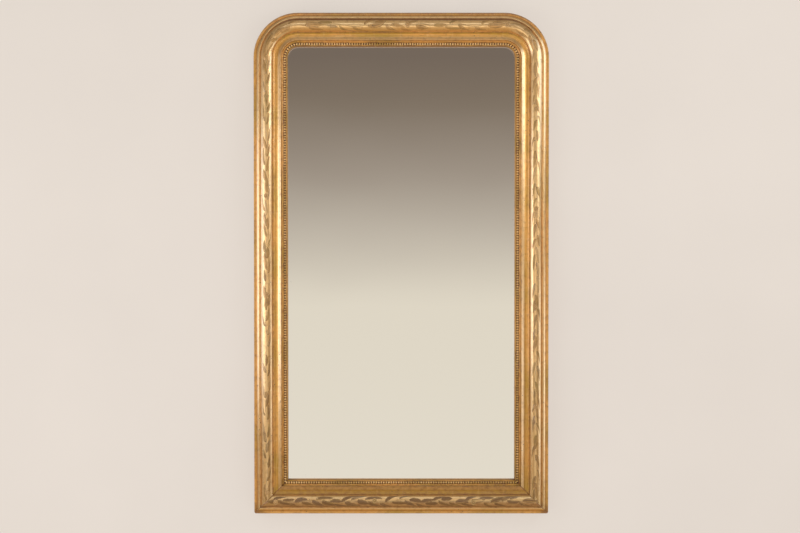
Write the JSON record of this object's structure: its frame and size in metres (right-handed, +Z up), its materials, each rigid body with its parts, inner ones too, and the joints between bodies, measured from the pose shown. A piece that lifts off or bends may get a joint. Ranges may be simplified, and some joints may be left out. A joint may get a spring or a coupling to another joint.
{
  "type": "giltwood mirror",
  "caption": "Tall wall mirror in a giltwood frame with round shoulders, a foliage-cut cushion moulding, a pearl-bead sight edge, a boarded back and swinging hanger rings.",
  "frame": {"origin": "middle of the lower edge on the wall plane, which is the back of the bottom rail", "axes": "+Z up, +Y back into the wall, +X to the right of a person who faces the mirror"},
  "size_m": [0.924, 0.072, 1.57],
  "materials": {
    "gilding": "gold leaf over red bole and gesso, burnished on the mouldings, matt in the cut foliage, rubbed and toned with age",
    "gilded_pearls": "gold leaf over pressed composition pearls, dark between the pearls",
    "pine": "sawn and planed pine, brown with age",
    "board_pine": "rough thin pine boards, brown and dusty with age",
    "peg_wood": "whittled hardwood end grain",
    "mirror": "old silvered plate glass, slightly warm, faintly foxed at the edges",
    "iron": "dark oxidised iron with rust in the corners"
  },
  "bodies": {
    "mirror_frame": {"moulding_left": "gilding", "moulding_right": "gilding", "moulding_top": "gilding", "moulding_bottom": "gilding", "shoulder_left": "gilding", "shoulder_right": "gilding", "bead_slip_left": "gilded_pearls", "bead_slip_right": "gilded_pearls", "bead_slip_top": "gilded_pearls", "bead_slip_bottom": "gilded_pearls", "back_stile_left": "pine", "back_stile_right": "pine", "back_rail_top": "pine", "back_rail_bottom": "pine", "glass_blocks": "pine", "lap_pegs": "peg_wood", "backboard_1": "board_pine", "backboard_2": "board_pine", "backboard_3": "board_pine", "backboard_4": "board_pine", "backboard_5": "board_pine", "backboard_6": "board_pine", "mirror_plate": "mirror", "backboard_nails": "iron", "hanger_strap_left": "iron", "hanger_strap_right": "iron", "hanger_screws": "iron"},
    "left_ring": {"hanger_ring_left": "iron"},
    "right_ring": {"hanger_ring_right": "iron"}
  },
  "joints": [
    {"name": "left_ring_swing", "type": "hinge", "parent": "mirror_frame", "child": "left_ring", "pos_m": [-0.387, -0.00695, 1.17475], "axis": [1, 0, 0], "range_deg": [0, 180]},
    {"name": "right_ring_swing", "type": "hinge", "parent": "mirror_frame", "child": "right_ring", "pos_m": [0.387, -0.00695, 1.17475], "axis": [1, 0, 0], "range_deg": [0, 180]}
  ]
}
